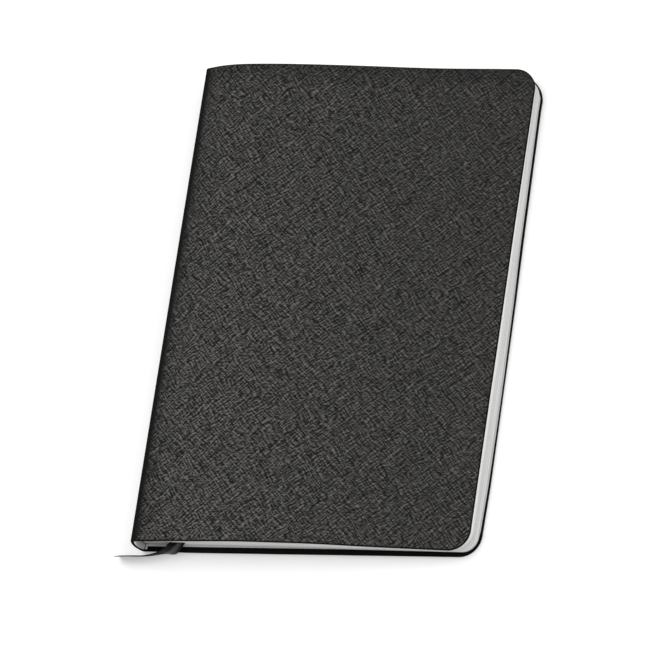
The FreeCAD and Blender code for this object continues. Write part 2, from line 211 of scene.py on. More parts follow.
def circle_through(top, bottom, bulge):
    """Centre and radius of the arc through two points that bows out by bulge to -X."""
    half = (top - bottom).length / 2
    radius = (half**2 + bulge**2) / (2 * bulge)
    middle = (top + bottom) / 2
    inward = Vector((top.y - bottom.y, bottom.x - top.x)).normalized()
    return middle + inward * (radius - bulge), radius


def arc_points(centre, radius, start, end):
    """Points, and outward normals, along an arc, turning from one angle to another."""
    count = max(2, int(abs(end - start) * radius / ARC_STEP) + 1)
    angles = np.linspace(start, end, count)
    normals = np.stack([np.cos(angles), np.sin(angles)], 1)
    return np.array(centre) + radius * normals, normals


def fillet_centre(first, first_reach, second, second_reach):
    """The point at those distances from two centres that lies nearer the spine's corner."""
    apart = (second - first).length
    along = (first_reach**2 - second_reach**2 + apart**2) / (2 * apart)
    aside = math.sqrt(first_reach**2 - along**2)
    unit = (second - first) / apart
    normal = Vector((-unit.y, unit.x))
    options = [first + unit * along + normal * side * aside for side in (1, -1)]
    return min(options, key=lambda p: p.x)


def bearing(centre, point):
    """Angle of point seen from centre, between 0 and a full turn."""
    return math.atan2(point[1] - centre[1], point[0] - centre[0]) % (2 * math.pi)


def wrap_sections():
    """The outer line of the leather in X and Z, from the middle of the spine to each
    fore-edge: for the front and for the back, points, normals and running length."""
    corner_top = Vector((SPINE_X, float(arch_z(SPINE_X, 0))))
    corner_bottom = Vector((SPINE_X, 0.0))
    centre, radius = circle_through(corner_top, corner_bottom, SPINE_BULGE)
    shoulder = Vector((CREST_X, CREST_Z - SHOULDER_RADIUS - THICKNESS))
    shoulder_reach = SHOULDER_RADIUS + THICKNESS
    fold = fillet_centre(shoulder, shoulder_reach - FOLD_RADIUS, centre, radius - FOLD_RADIUS)
    on_spine = bearing(centre, fold)
    on_arch = bearing(shoulder, fold)
    spine_up = arc_points(centre, radius, math.pi, on_spine)
    turn_up = arc_points(fold, FOLD_RADIUS, on_spine, on_arch)
    climb = arc_points(shoulder, shoulder_reach, on_arch, math.pi / 2)
    xs = np.linspace(CREST_X, front_high.x, RUN_POINTS)
    zs = arch_z(xs, 0)
    slope = np.gradient(zs, xs)
    run = (np.stack([xs, zs], 1), unit_rows(np.stack([-slope, np.ones_like(slope)], 1)))

    low = fillet_centre_on_floor(centre, radius)
    on_spine = bearing(centre, low)
    spine_down = arc_points(centre, radius, math.pi, on_spine)
    turn_down = arc_points(low, FOLD_RADIUS, on_spine, 1.5 * math.pi)
    xs = np.linspace(low.x, back_high.x, RUN_POINTS)
    flat = (np.stack([xs, np.zeros_like(xs)], 1), np.tile([0.0, -1.0], (len(xs), 1)))
    return chain(spine_up, turn_up, climb, run), chain(spine_down, turn_down, flat)


def fillet_centre_on_floor(centre, radius):
    """Centre of the lower fold: tangent to the spine's arc and to the floor."""
    z = FOLD_RADIUS
    reach = radius - FOLD_RADIUS
    return Vector((centre.x - math.sqrt(reach**2 - (z - centre.y) ** 2), z))


def chain(*stretches):
    """Joins stretches end to end, without repeating the points that they share."""
    points = [stretches[0][0]] + [s[0][1:] for s in stretches[1:]]
    normals = [stretches[0][1]] + [s[1][1:] for s in stretches[1:]]
    points, normals = np.concatenate(points), np.concatenate(normals)
    return points, normals, running_length(points)


def on_section(section, u, depth):
    """X and Z at running length u along a section, depth under its outer line."""
    points, normals, lengths = section
    place = [np.interp(u, lengths, points[:, k]) for k in (0, 1)]
    normal = [np.interp(u, lengths, normals[:, k]) for k in (0, 1)]
    scale = np.hypot(*normal)
    return [place[k] - depth * normal[k] / scale for k in (0, 1)]


# ---------------------------------------------------------------- mesh building


def mesh_object(name, vertices, faces, attributes=(), sharp_above=60):
    """A smooth-shaded object, sharp where it turns by more than sharp_above degrees.
    attributes are (name, values), one vector a vertex."""
    mesh = bpy.data.meshes.new(name)
    mesh.from_pydata([tuple(v) for v in vertices], [], [tuple(f) for f in faces])
    mesh.validate()
    for title, values in attributes:
        layer = mesh.attributes.new(title, "FLOAT_VECTOR", "POINT")
        layer.data.foreach_set("vector", np.asarray(values, np.float32).ravel())
    mesh.polygons.foreach_set("use_smooth", [True] * len(mesh.polygons))
    mesh.set_sharp_from_angle(angle=math.radians(sharp_above))
    obj = bpy.data.objects.new(name, mesh)
    bpy.context.scene.collection.objects.link(obj)
    return obj


def grid_faces(columns, rows, first, flip=False):
    """Quads of a grid whose vertex (column, row) has the index first + column * rows + row."""
    faces = []
    for c in range(columns - 1):
        for r in range(rows - 1):
            a = first + c * rows + r
            quad = (a, a + 1, a + rows + 1, a + rows)
            faces.append(quad[::-1] if flip else quad)
    return faces


def strip_faces(first, second, flip=False, closed=False):
    """Quads between two runs of vertex indices."""
    faces = []
    count = len(first)
    for i in range(count if closed else count - 1):
        j = (i + 1) % count
        quad = (first[i], first[j], second[j], second[i])
        faces.append(quad[::-1] if flip else quad)
    return faces


def tube_faces(rings, around):
    """Quads round a tube of rings, each of which has that many vertices."""
    faces = []
    for i in range(rings - 1):
        low = range(i * around, (i + 1) * around)
        high = range((i + 1) * around, (i + 2) * around)
        faces += strip_faces(low, high, closed=True)
    return faces


def end_faces(rings, around):
    """The two faces that close a tube's first and last rings."""
    last = (rings - 1) * around
    return [tuple(range(around))[::-1], tuple(range(last, last + around))]


def spread(stops, spacings):
    """Numbers from the first stop to the last, at about each stretch's own spacing."""
    values = [stops[0]]
    for start, end, spacing in zip(stops, stops[1:], spacings):
        count = max(1, round((end - start) / spacing))
        values += list(np.linspace(start, end, count + 1)[1:])
    return np.array(values)


def plan_grid(straight, end, half, radius, inset, rows):
    """Flat coordinates of a sheet with two rounded corners, inset from its outline."""
    turns = np.radians(np.linspace(0, 90, 19))[1:]
    arc_u = end - radius + (radius - inset) * np.sin(turns)
    arc_half = half - radius + (radius - inset) * np.cos(turns)
    u = np.concatenate([straight, arc_u])
    reach = np.concatenate([np.full(len(straight), half - inset), arc_half])
    return np.stack([np.repeat(u[:, None], len(rows), 1), reach[:, None] * rows[None]], 2)


def cover_grid(straight, end, inset, rows):
    """Developed coordinates of a cover's surface, inset from its outline."""
    return plan_grid(straight, end, HALF_HEIGHT, CORNER_RADIUS, inset, rows)


def rim_distance(grid, end):
    """How far each developed point is from the cover's outline."""
    past_u = grid[..., 0] - (end - CORNER_RADIUS)
    past_y = np.abs(grid[..., 1]) - (HALF_HEIGHT - CORNER_RADIUS)
    in_corner = CORNER_RADIUS - np.hypot(np.maximum(past_u, 0), np.maximum(past_y, 0))
    plain = np.minimum(CORNER_RADIUS - past_u, CORNER_RADIUS - past_y)
    return np.where((past_u > 0) & (past_y > 0), in_corner, plain)


def border(grid):
    """The outline of a grid, open at the spine: one end, the fore-edge, the other end."""
    return np.concatenate([grid[:, 0], grid[-1, 1:-1], grid[::-1, -1]])


# Rounding of the leather's cut edge, at its outer and at its inner side.
OUTER_ROUND = 0.40 * MM
INNER_ROUND = 0.20 * MM


def rim_profile():
    """Inset and depth of each line round the leather's cut edge, outer to inner."""
    lines = []
    for degrees in (22.5, 45, 67.5, 90):
        a = math.radians(degrees)
        lines.append((OUTER_ROUND * (1 - math.sin(a)), OUTER_ROUND * (1 - math.cos(a))))
    for degrees in (0, 30, 60):
        a = math.radians(degrees)
        inset = INNER_ROUND * (1 - math.cos(a))
        lines.append((inset, THICKNESS - INNER_ROUND * (1 - math.sin(a))))
    return lines


def leather_half(name, section, sign):
    """Half of the wrapped sheet, from the middle of the spine to one fore-edge."""
    end = section[2][-1]
    fold = fold_length(section)
    straight = spread(
        [0, fold - 3 * MM, fold + 3 * MM, fold + 12 * MM, end - CORNER_RADIUS],
        [0.5 * MM, 0.22 * MM, 1.2 * MM, 2.6 * MM],
    )
    # Rows lie closest along the head and the tail, as the columns do at the fold.
    rim = np.array([0, 0.3, 0.7, 1.3, 2.2, 3.6, 5.5, 8]) * MM / HALF_HEIGHT
    inner_rows = np.linspace(-1 + rim[-1], 1 - rim[-1], 75)
    rows = np.concatenate([-1 + rim[:-1], inner_rows, 1 - rim[-2::-1]])

    vertices, wrap = [], []

    def lay(points, depth):
        """Places developed points, and returns the indices that they take."""
        x, z = on_section(section, points[..., 0], depth)
        y = points[..., 1]
        if sign > 0:
            x, z = x + proud(x, y), z + relax(x, y)
        else:
            x, y = x + askew(x, y), y - slip(x)
        first = len(vertices)
        flat = np.stack([x, y, z], -1).reshape(-1, 3)
        vertices.extend(flat)
        rim_far = rim_distance(points, end) * (1 - depth / THICKNESS)
        store = np.stack([sign * points[..., 0], points[..., 1], rim_far], -1)
        wrap.extend(store.reshape(-1, 3))
        return np.arange(first, len(vertices)).reshape(points.shape[:-1])

    outer = lay(cover_grid(straight, end, OUTER_ROUND, rows), 0.0)
    inner = lay(cover_grid(straight, end, INNER_ROUND, rows), THICKNESS)
    columns, count = outer.shape
    flip = sign < 0
    faces = grid_faces(columns, count, outer[0, 0], flip=not flip)
    faces += grid_faces(columns, count, inner[0, 0], flip=flip)
    lines = [border(outer)]
    for inset, depth in rim_profile():
        lines.append(lay(border(cover_grid(straight, end, inset, rows)), depth))
    lines.append(border(inner))
    for first, second in zip(lines, lines[1:]):
        faces += strip_faces(first, second, flip=not flip)
    across = [line[0] for line in lines] + list(inner[0][1:-1])
    across += [line[-1] for line in lines[::-1]] + list(outer[0][1:-1][::-1])
    faces.append(tuple(across if flip else across[::-1]))
    return mesh_object(name, vertices, faces, [("wrap", wrap)])


def fold_length(section):
    """Running length at the middle of the fold, where the section turns fastest."""
    _, normals, lengths = section
    turn = np.linalg.norm(np.diff(normals, axis=0), axis=1) / np.maximum(np.diff(lengths), 1e-9)
    fast = np.where(turn > 0.9 / FOLD_RADIUS)[0]
    return float(lengths[fast].mean())


# ---------------------------------------------------------------- node materials

# Colours that a material goes between: the leather's grooves in painted shade and its ridges
# with painted glints, the endpapers' mottle, painted shade in the gaps between the leaves
# and their edges, each paler where painted light falls on the upper leaves at the fore-edge,
# the satin and its painted sheen, the board's face greyed with the painted shade of the
# spine's hollow and its cut ends, and the cloth's weave.
LEATHER_TONES = (0.0040, 0.0039, 0.0037, 1.0), (0.1400, 0.1365, 0.1265, 1.0)
ENDPAPER_TONES = (0.76, 0.75525, 0.73625, 1.0), (0.80, 0.795, 0.775, 1.0)
GAP_TONES = (0.47, 0.47, 0.465, 1.0), (0.90, 0.90, 0.89, 1.0)
LEAF_TONES = (0.86, 0.86, 0.85, 1.0), (0.97, 0.97, 0.96, 1.0)
# Painted shade on the edges of the lowest leaves, next to the back cover.
LOWEST_LEAVES_SHADE = (0.46, 0.46, 0.455, 1.0)
# Painted shade along the pages' spine edge, in the hollow by the spine.
SPINE_GAP_SHADE = (0.05, 0.05, 0.048, 1.0)
SATIN_TONES = (0.002, 0.002, 0.002, 1.0), (0.085, 0.085, 0.085, 1.0)
BOARD_TONES = (0.64, 0.64, 0.63, 1.0), (0.72, 0.72, 0.71, 1.0)
CUT_BOARD_TONES = (0.74, 0.74, 0.725, 1.0), (0.84, 0.84, 0.825, 1.0)
CLOTH_TONES = (0.45, 0.44, 0.42, 1.0), (0.74, 0.73, 0.70, 1.0)

# The embossed lines: the directions of their two families, and the space between lines.
RISING = 40
FALLING = -47
HATCH_PITCH = 1.38 * MM

# Spacing of the cloth's threads and of the ribbon's ribs.
CLOTH_PITCH = 0.7 * MM
RIB_PITCH = 0.32 * MM


class Nodes:
    """A node tree, emptied, with short calls for the nodes that are put in it."""

    def __init__(self, tree):
        self.tree = tree
        tree.nodes.clear()

    def node(self, kind, **settings):
        made = self.tree.nodes.new(kind)
        for key, value in settings.items():
            setattr(made, key, value)
        return made

    def feed(self, socket, value):
        if isinstance(value, bpy.types.NodeSocket):
            self.tree.links.new(value, socket)
        else:
            socket.default_value = value

    def math(self, operation, a, b=None, c=None, clamp=False):
        made = self.node("ShaderNodeMath", operation=operation, use_clamp=clamp)
        for socket, value in zip(made.inputs, (a, b, c)):
            if value is not None:
                self.feed(socket, value)
        return made.outputs[0]

    def vector(self, x, y, z):
        made = self.node("ShaderNodeCombineXYZ")
        for socket, value in zip(made.inputs, (x, y, z)):
            self.feed(socket, value)
        return made.outputs[0]

    def split(self, vector):
        made = self.node("ShaderNodeSeparateXYZ")
        self.feed(made.inputs[0], vector)
        return made.outputs

    def attribute(self, name):
        """The three numbers that a mesh keeps under that name."""
        made = self.node("ShaderNodeAttribute", attribute_name=name)
        return self.split(made.outputs["Vector"])

    def place(self):
        return self.node("ShaderNodeTexCoord").outputs["Object"]

    def noise(self, vector, scale=1.0, detail=2.0, roughness=0.5):
        made = self.node("ShaderNodeTexNoise")
        self.feed(made.inputs["Vector"], vector)
        self.feed(made.inputs["Scale"], scale)
        self.feed(made.inputs["Detail"], detail)
        self.feed(made.inputs["Roughness"], roughness)
        return made.outputs["Fac"]

    def fibres(self):
        """The fine noise of paper and card."""
        return self.noise(self.place(), 900.0, detail=4.0, roughness=0.7)

    def ease(self, value, low, high, to_low=0.0, to_high=1.0):
        """Maps low..high to to_low..to_high with soft ends."""
        made = self.node("ShaderNodeMapRange", interpolation_type="SMOOTHSTEP")
        for socket, given in zip(made.inputs, (value, low, high, to_low, to_high)):
            self.feed(socket, given)
        return made.outputs[0]

    def mix(self, factor, a, b):
        """A colour between two, through the node's own sockets for colours."""
        made = self.node("ShaderNodeMix", data_type="RGBA")
        for index, value in ((0, factor), (6, a), (7, b)):
            self.feed(made.inputs[index], value)
        return made.outputs[2]

    def bump(self, height, distance, strength=1.0):
        made = self.node("ShaderNodeBump")
        self.feed(made.inputs["Strength"], strength)
        self.feed(made.inputs["Distance"], distance)
        self.feed(made.inputs["Height"], height)
        return made.outputs[0]


class Shader(Nodes):
    """A material made of nodes."""

    def __init__(self, name):
        self.material = bpy.data.materials.new(name)
        self.material.use_nodes = True
        super().__init__(self.material.node_tree)
        self.output = self.node("ShaderNodeOutputMaterial")

    def principled(self, **inputs):
        surface = self.node("ShaderNodeBsdfPrincipled")
        for key, value in inputs.items():
            self.feed(surface.inputs[key.replace("_", " ")], value)
        self.feed(self.output.inputs[0], surface.outputs[0])
        return self.material


def turned(shader, u, y, degrees):
    """Coordinates along and across a direction on the developed leather."""
    cosine, sine = math.cos(math.radians(degrees)), math.sin(math.radians(degrees))
    along = shader.math("MULTIPLY_ADD", u, cosine, shader.math("MULTIPLY", y, sine))
    across = shader.math("MULTIPLY_ADD", y, cosine, shader.math("MULTIPLY", u, -sine))
    return along, across


def streaks(shader, along, across, run, pitch, seed):
    """Noise drawn out to about run in one direction and pitch in the other."""
    along, across = shader.math("DIVIDE", along, run), shader.math("DIVIDE", across, pitch)
    return shader.noise(shader.vector(along, across, seed), detail=1.0)


def hatching(shader, u, y, degrees, seed):
    """Patches of fine parallel embossed lines, from -1 in the grooves to 1 on the ridges.
    The lines wander by a few of their pitches, with loose streaks among them."""
    along, across = turned(shader, u, y, degrees)
    drift = shader.math("MULTIPLY", streaks(shader, along, across, 11 * MM, 5 * MM, seed), 22.0)
    phase = shader.math("MULTIPLY_ADD", across, 2 * math.pi / HATCH_PITCH, drift)
    wave = shader.math("SINE", phase)
    patch = streaks(shader, along, across, 3.4 * MM, 2.0 * MM, seed + 3.7)
    patch = shader.ease(patch, 0.38, 0.64, 0.25, 1.15)
    loose = streaks(shader, along, across, 2.6 * MM, 0.62 * MM, seed + 8.1)
    loose = shader.math("MULTIPLY", shader.ease(loose, 0.32, 0.68, -1.0, 1.0), 0.45)
    return shader.math("MULTIPLY_ADD", wave, patch, loose)


def from_folds(shader, u):
    """How far a developed place is from the nearer of the two folds at the spine."""
    fronts = shader.math("ABSOLUTE", shader.math("SUBTRACT", u, fold_length(front_section)))
    backs = shader.math("ABSOLUTE", shader.math("ADD", u, fold_length(back_section)))
    return shader.math("MINIMUM", fronts, backs)


def painted_shading(shader, u, y, off_fold):
    """Painted light and shade over the coat: painted shade along the folds, towards the
    fore-edge and towards the head, and a painted highlight a finger's width from the spine."""
    changes = (
        shader.ease(off_fold, 1.0 * MM, 6.0 * MM, 0.03, 0.85),
        shader.ease(off_fold, 4 * MM, 16 * MM, 1.0, 1.38),
        shader.ease(u, 10 * MM, 150 * MM, 1.0, 0.70),
        shader.ease(y, -HALF_HEIGHT, HALF_HEIGHT, 1.08, 0.92),
        shader.ease(y, HALF_HEIGHT - 12 * MM, HALF_HEIGHT - 1 * MM, 1.0, 0.58),
    )
    tone = changes[0]
    for change in changes[1:]:
        tone = shader.math("MULTIPLY", tone, change)
    return tone


def make_leather():
    """Near-black coated leather, embossed with two crossing families of fine lines; its
    ridges are painted pale as glints and its grooves dark as shade.
    """
    s = Shader("cover_leather")
    u, y, rim = s.attribute("wrap")
    rising = hatching(s, u, y, RISING, 3.0)
    falling = hatching(s, u, y, FALLING, 11.0)
    lines = s.math("MULTIPLY_ADD", falling, 0.90, rising)
    grain = streaks(s, u, y, 1.70 * MM, 0.72 * MM, 5.0)
    lines = s.math("MULTIPLY_ADD", s.ease(grain, 0.3, 0.7, -1.0, 1.0), 0.90, lines)
    for degrees, seed in ((RISING, 23.0), (FALLING, 31.0)):
        along, across = turned(s, u, y, degrees)
        seam = streaks(s, along, across, 13 * MM, 2.6 * MM, seed)
        off_seam = s.math("ABSOLUTE", s.math("SUBTRACT", seam, 0.5))
        lines = s.math("ADD", lines, s.ease(off_seam, 0.0, 0.03, -0.8, 0.0))
    # Nothing is embossed at the cut edge and in the folds. There the painted glints give way
    # to the dark groove tone, which is the leather's own black with painted shade.
    off_fold = from_folds(s, u)
    edge = s.ease(rim, 0.15 * MM, 0.6 * MM)
    edge = s.math("MULTIPLY", edge, s.ease(off_fold, 0.5 * MM, 3.5 * MM))
    # The embossing is deeper towards the spine and the tail, so its painted glints are stronger
    # there: painted highlight.
    depth = s.math(
        "MULTIPLY",
        s.ease(u, 10 * MM, 150 * MM, 0.26, 0.205),
        s.ease(y, -HALF_HEIGHT, HALF_HEIGHT, 1.06, 0.96),
    )
    height = s.math("MULTIPLY", s.math("MULTIPLY_ADD", lines, depth, 0.5), edge)
    # Ridges are painted pale as glints and grooves dark as shade, then the painted light and
    # shade over the coat is laid on.
    glint_and_shade = s.math("POWER", s.math("MULTIPLY_ADD", height, 0.95, 0.05, clamp=True), 2.0)
    glint_and_shade = s.math("MULTIPLY", glint_and_shade, painted_shading(s, u, y, off_fold))
    tone = s.mix(glint_and_shade, *LEATHER_TONES)
    rough = s.ease(height, 0.1, 0.9, 0.75, 0.45)
    roughness = s.math("MULTIPLY_ADD", edge, s.math("SUBTRACT", rough, 1.0), 1.0)
    return s.principled(
        Base_Color=tone,
        Roughness=roughness,
        Normal=s.bump(height, 0.30 * MM, 1.0),
        Specular_IOR_Level=0.10,
    )


def make_endpaper():
    """Matt paper with a faint mottle of fibres."""
    s = Shader("endpaper")
    fibres = s.fibres()
    clouds = s.noise(s.place(), 60.0)
    shade = s.math("ADD", s.math("MULTIPLY", fibres, 0.6), s.math("MULTIPLY", clouds, 0.4))
    return s.principled(
        Base_Color=s.mix(s.ease(shade, 0.35, 0.65), *ENDPAPER_TONES),
        Roughness=0.9,
        Normal=s.bump(fibres, 0.02 * MM, 0.5),
        Specular_IOR_Level=0.25,
    )


def make_page_edges():
    """Cut edges of the leaves: fine lines of painted shade in the gaps between them,
    painted shade on the lowest leaves and along the spine edge, and painted light on the
    upper leaves at the fore-edge.
    """
    s = Shader("page_edges")
    leaf, run, from_spine = s.attribute("leaf")
    fine = s.noise(s.vector(s.math("MULTIPLY", leaf, 150), s.math("MULTIPLY", run, 25), 0.0))
    broad = s.noise(s.vector(s.math("MULTIPLY", leaf, 22), s.math("MULTIPLY", run, 9), 4.0))
    # The noise marks the gaps between the leaves, which are painted in shade.
    gaps = s.math("ADD", s.math("MULTIPLY", fine, 0.6), s.math("MULTIPLY", broad, 0.4))
    # Painted light: the upper leaves at the fore-edge are paler, in gaps and edges alike.
    fore = s.ease(from_spine, 132 * MM, 144 * MM)
    painted_fore_edge_light = s.math("MULTIPLY", fore, s.ease(leaf, 0.68, 0.90))
    edges = s.mix(s.ease(leaf, 0.0, 0.22), LOWEST_LEAVES_SHADE, s.mix(painted_fore_edge_light, *LEAF_TONES))
    paper = s.mix(s.ease(gaps, 0.34, 0.64), s.mix(painted_fore_edge_light, *GAP_TONES), edges)
    # Painted shade along the pages' spine edge.
    past_spine_shade = s.ease(from_spine, 0.25 * MM, 0.75 * MM)
    return s.principled(
        Base_Color=s.mix(past_spine_shade, SPINE_GAP_SHADE, paper),
        Roughness=0.85,
        Normal=s.bump(gaps, 0.06 * MM, 0.6),
        Specular_IOR_Level=0.2,
    )


def make_ribbon_satin():
    """Black satin ribbon: fine threads along it, and a painted sheen along one side of
    its middle, black towards its edges.
    """
    s = Shader("ribbon_satin")
    along, across, _ = s.attribute("weave")
    threads = s.vector(s.math("MULTIPLY", along, 300), s.math("MULTIPLY", across, 9000), 0.0)
    threads = s.noise(threads, detail=1.0)
    ribs = s.math("SINE", s.math("MULTIPLY", along, 2 * math.pi / RIB_PITCH))
    height = s.math("MULTIPLY_ADD", ribs, 0.15, threads)
    # A paler band along one side of the middle: painted sheen, broken up by the threads.
    off_sheen = s.math("ABSOLUTE", s.math("SUBTRACT", across, 0.75 * MM))
    painted_sheen = s.ease(off_sheen, 0.45 * MM, 1.35 * MM, 1.0, 0.0)
    # The painted sheen fades beyond the turn onto the ribbon's edge.
    fading = s.ease(along, 8.5 * MM, 12.5 * MM, 1.0, 0.1)
    painted_sheen = s.math("MULTIPLY", painted_sheen, fading)
    broken_sheen = s.math("MULTIPLY", painted_sheen, s.ease(threads, 0.25, 0.7, 0.45, 1.0))
    return s.principled(
        Base_Color=s.mix(broken_sheen, *SATIN_TONES),
        Roughness=s.math("MULTIPLY_ADD", fading, -0.45, 0.79),
        Normal=s.bump(height, 0.03 * MM, 0.5),
        Specular_IOR_Level=0.14,
    )


def make_board():
    """Pale card, whiter where it is cut at head and tail; its face is greyer as painted
    shade inside the spine's hollow.
    """
    s = Shader("spine_board")
    _, y, _ = s.split(s.place())
    fibres = s.fibres()
    clouds = s.ease(fibres, 0.35, 0.65)
    cut = s.ease(s.math("ABSOLUTE", y), LINER_HALF - 0.15 * MM, LINER_HALF - 0.02 * MM)
    face, end = s.mix(clouds, *BOARD_TONES), s.mix(clouds, *CUT_BOARD_TONES)
    return s.principled(
        Base_Color=s.mix(cut, face, end),
        Roughness=0.9,
        Normal=s.bump(fibres, 0.02 * MM, 0.5),
        Specular_IOR_Level=0.25,
    )


def make_cloth():
    """Open-weave cloth of the spine's reinforcement."""
    s = Shader("spine_cloth")
    _, y, z = s.split(s.place())
    warp, weft = (
        s.math("SINE", s.math("MULTIPLY", way, 2 * math.pi / CLOTH_PITCH)) for way in (y, z)
    )
    weave = s.math("MULTIPLY", warp, weft)
    return s.principled(
        Base_Color=s.mix(s.ease(weave, -0.6, 0.8), *CLOTH_TONES),
        Roughness=0.9,
        Normal=s.bump(weave, 0.08 * MM, 0.7),
        Specular_IOR_Level=0.2,
    )


def wear(obj, material):
    obj.data.materials.clear()
    obj.data.materials.append(material)


# ---------------------------------------------------------------- leather

front_section, back_section = wrap_sections()
leather = make_leather()
front_leather = leather_half("leather_front", front_section, 1)
back_leather = leather_half("leather_back", back_section, -1)
for piece in (front_leather, back_leather):
    wear(piece, leather)
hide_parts("front_cover", "spine_cover")
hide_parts("back_cover")


def bend_over_fold(piece):
    """Bakes a piece's placement into its mesh."""
    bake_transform(piece)


bend_over_fold(front_leather)
bend_over_fold(back_leather)

# ---------------------------------------------------------------- pages

# How far under the front cover's outer surface each layer's upper face lies.
PASTEDOWN_DROP = THICKNESS
FLYLEAF_DROP = PASTEDOWN_DROP + PAPER + LEAF_GAP
PAGES_DROP = FLYLEAF_DROP + PAPER

PAGES_TOP_X = SPINE_X + THICKNESS + HOLLOW_AT_TOP
PAGES_BOTTOM_X = SPINE_X + THICKNESS + HOLLOW_AT_BOTTOM
PAGES_FRONT_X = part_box("front_pastedown")[1].x
PAGE_HALF = pages_high.y

# The bound pages are drawn with fewer leaves than they have. The lowest one's corners are
# tighter, and each leaf's edge is a little uneven and sways.
LEAVES = 56
LOW_CORNER_TIGHTER = 2.0 * MM
UNEVEN = 0.035 * MM
SWAY = 0.03 * MM

# How far the tail ends stand out, at the frame's middle and more for each metre from it.
TAIL_OUT = 0.12 * MM
TAIL_SLANT = 0.0101

# Points of a leaf's outline: shares of its ends from the spine to the corner, angles
# round a corner, and shares of its fore-edge and of its spine edge.
NEAR_SPINE = np.array([0, 0.12, 0.30, 0.55, 0.9, 1.6]) * MM / (pages_high.x - pages_low.x)
END_SHARES = np.concatenate([NEAR_SPINE, np.linspace(0, 1, 64)[2:]])
CORNER_TURNS = np.radians(np.linspace(0, 90, 15))[1:]
FORE_SHARES = np.linspace(-1, 1, 90)[1:]
SPINE_SHARES = np.linspace(1, -1, 40)[1:-1]


def page_spine_x(v):
    """X of the pages' rounded spine edge at height share v, 0 at the bottom leaf."""
    top = Vector((PAGES_TOP_X, float(arch_z(PAGES_TOP_X, PAGES_DROP))))
    bottom = Vector((PAGES_BOTTOM_X, pages_low.z))
    half = (top - bottom).length / 2
    bulge = BLOCK_SPINE_RADIUS - math.sqrt(BLOCK_SPINE_RADIUS**2 - half**2)
    centre, radius = circle_through(top, bottom, bulge)
    z = bottom.y + (top.y - bottom.y) * v
    return centre.x - np.sqrt(radius**2 - (z - centre.y) ** 2)


def leaf_outline(start, end, half, radius):
    """A leaf's outline in plan: tail end, corner, fore-edge, corner, head end, spine."""
    arc_x, arc_y = end - radius, half - radius
    ends_x = start + (arc_x - start) * END_SHARES
    sines, cosines = radius * np.sin(CORNER_TURNS), radius * np.cos(CORNER_TURNS)
    stretches = (
        (ends_x, np.full_like(ends_x, -half)),
        (arc_x + sines, -arc_y - cosines),
        (np.full_like(FORE_SHARES, end), arc_y * FORE_SHARES),
        (arc_x + cosines, arc_y + sines),
        (ends_x[-2::-1], np.full_like(ends_x[1:], half)),
        (np.full_like(SPINE_SHARES, start), half * SPINE_SHARES),
    )
    return np.concatenate([np.column_stack(stretch) for stretch in stretches])


def make_pages():
    """The bound pages: a wall of leaf edges, and the two outer leaves' faces."""
    rng = np.random.default_rng(7)
    uneven = rng.normal(0, UNEVEN, LEAVES)
    drift = rng.uniform(0, 2 * math.pi, LEAVES)
    rows, marks = [], []
    for v, out, phase in zip(np.linspace(0, 1, LEAVES), uneven, drift):
        end = pages_high.x + (PAGES_FRONT_X - pages_high.x) * v + out
        radius = PAGE_CORNER_RADIUS - LOW_CORNER_TIGHTER * (1 - v)
        outline = leaf_outline(page_spine_x(v), end, PAGE_HALF + 0.5 * out, radius)
        run = running_length(outline)
        sway = SWAY * np.sin(run / (38 * MM) + phase)
        x, y = (outline + unit_rows(outline) * sway[:, None]).T
        marks.append(np.column_stack([np.full_like(x, v), run, x - x.min()]))
        x = x + (1 - v) * leaf_askew(x, y)
        y = y - np.clip(-y / PAGE_HALF, 0, 1) ** 2 * (TAIL_OUT + TAIL_SLANT * x)
        top = sheet_z(x, y, PAGES_DROP)
        rows.append(np.column_stack([x, y, pages_low.z + (top - pages_low.z) * v]))
    around = len(rows[0])
    vertices = np.concatenate(rows)
    marks = np.concatenate(marks)
    faces = tube_faces(LEAVES, around)
    corner = len(END_SHARES) + len(CORNER_TURNS)
    fore_end = corner + len(FORE_SHARES)
    for first, flip in ((0, True), ((LEAVES - 1) * around, False)):
        tail = [first + k for k in range(corner)]
        head = [first + fore_end + corner - 1 - k for k in range(corner)]
        head[-1] = first + fore_end - 1
        fore = [first + k for k in range(corner, fore_end - 1)]
        spine = [first + k for k in range(fore_end + corner - 1, around)]
        for k in range(corner - 1):
            face = [tail[k], tail[k + 1], head[k + 1], head[k]]
            if k == corner - 2:
                face = [tail[k], tail[k + 1], *fore, head[k + 1], head[k]]
            if k == 0:
                face += spine
            faces.append(tuple(face[::-1] if flip else face))
    return mesh_object("pages", vertices, faces, [("leaf", marks)], sharp_above=50)


def make_leaf(name, low, high, place):
    """A sheet of paper with two rounded corners; place says where a flat point of it
    lies, for its upper and for its lower face."""
    rows = np.linspace(-1, 1, 70)
    stops = [low.x, low.x + 3 * MM, low.x + 14 * MM, high.x - PAGE_CORNER_RADIUS]
    straight = spread(stops, [0.25 * MM, 0.9 * MM, 2.6 * MM])
    grid = plan_grid(straight, high.x, high.y, PAGE_CORNER_RADIUS, 0, rows)
    x, y = grid[..., 0], grid[..., 1]
    upper = np.stack(place(x, y, 0.0), -1).reshape(-1, 3)
    lower = np.stack(place(x, y, PAPER), -1).reshape(-1, 3)
    columns, count = x.shape
    index = np.arange(columns * count).reshape(columns, count)
    ring = np.concatenate([border(index), index[0, 1:-1][::-1]])
    faces = grid_faces(columns, count, 0, flip=True)
    faces += grid_faces(columns, count, len(upper))
    faces += strip_faces(list(ring + len(upper)), list(ring), closed=True)
    return mesh_object(name, np.concatenate([upper, lower]), faces)


def under_front(drop):
    """Places a sheet along the front cover, at that drop below its outside."""
    return lambda x, y, down: (x, y, sheet_z(x, y, drop + down))


def over_back(top):
    """Places a flat sheet with its upper face at that height, askew as the back is."""
    return lambda x, y, down: (x + leaf_askew(x, y), y, np.full_like(x, top - down))


# How far an endpaper's fold is tucked in, and half its thickness.
TUCK = 0.72 * MM
HALF_FOLD = 0.06 * MM


